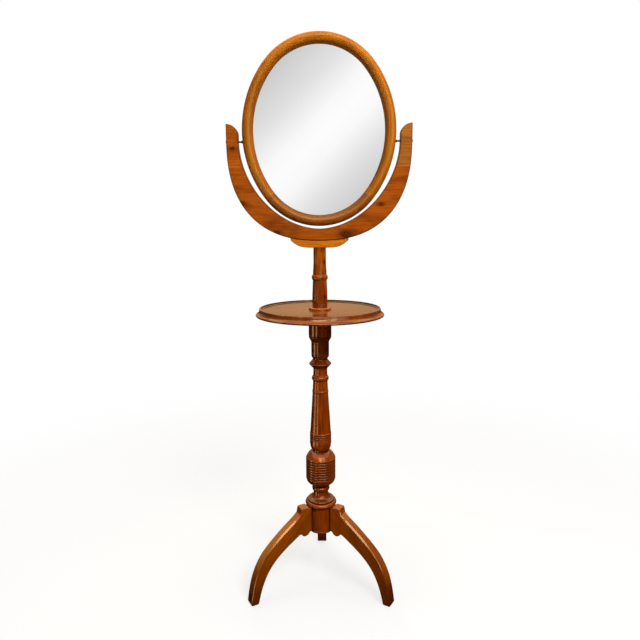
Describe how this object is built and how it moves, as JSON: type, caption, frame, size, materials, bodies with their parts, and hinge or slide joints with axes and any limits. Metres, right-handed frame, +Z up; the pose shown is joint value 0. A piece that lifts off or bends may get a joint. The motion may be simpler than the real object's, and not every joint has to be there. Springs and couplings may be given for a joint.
{
  "type": "shaving stand",
  "caption": "Free-standing pine shaving stand: tripod legs and a turned column carry a round dished tray and a swivelling yoke with a tilting oval mirror.",
  "frame": {"origin": "on the floor, at the middle of the stand's overall box; the column's axis stands 27.5 mm in front of it", "axes": "+Z up along the column, +Y from the mirror's face to its back, so the mirror faces -Y, +X to the right seen from the front"},
  "size_m": [0.5072, 0.4189, 1.5802],
  "materials": {
    "turned_pine": "dark stained pine under gloss varnish",
    "leg_pine": "stained pine under gloss varnish",
    "dowel_wood": "bare beech",
    "tray_pine": "stained pine under gloss varnish",
    "yoke_pine": "honey pine under gloss varnish",
    "frame_pine": "medium brown pine under gloss varnish",
    "black_iron": "blackened iron",
    "silvered_glass": "silvered glass",
    "back_deal": "bare thin board"
  },
  "bodies": {
    "base": {"column": "turned_pine", "leg_front_left": "leg_pine", "leg_front_right": "leg_pine", "leg_rear": "leg_pine", "leg_dowels": "dowel_wood", "tray": "tray_pine", "tray_screws": "black_iron", "tray_collar": "turned_pine"},
    "swivel": {"post": "turned_pine", "yoke_board": "yoke_pine", "yoke_horn_left": "yoke_pine", "yoke_horn_right": "yoke_pine", "yoke_cleat": "yoke_pine", "cleat_screws": "black_iron", "pivot_screw_left": "black_iron", "pivot_screw_right": "black_iron"},
    "mirror": {"pivot_bush_left": "black_iron", "pivot_bush_right": "black_iron", "frame_top": "frame_pine", "frame_bottom": "frame_pine", "frame_left": "frame_pine", "frame_right": "frame_pine", "mirror_glass": "silvered_glass", "back_board": "back_deal", "back_sprigs": "black_iron"}
  },
  "joints": [
    {"name": "post_swivel", "type": "hinge", "parent": "base", "child": "swivel", "pos_m": [0, -0.0275, 0.8492], "axis": [0, 0, 1], "continuous": true},
    {"name": "mirror_tilt", "type": "hinge", "parent": "swivel", "child": "mirror", "pos_m": [0, -0.0275, 1.3022], "axis": [1, 0, 0], "range_deg": [-160, 160]}
  ]
}
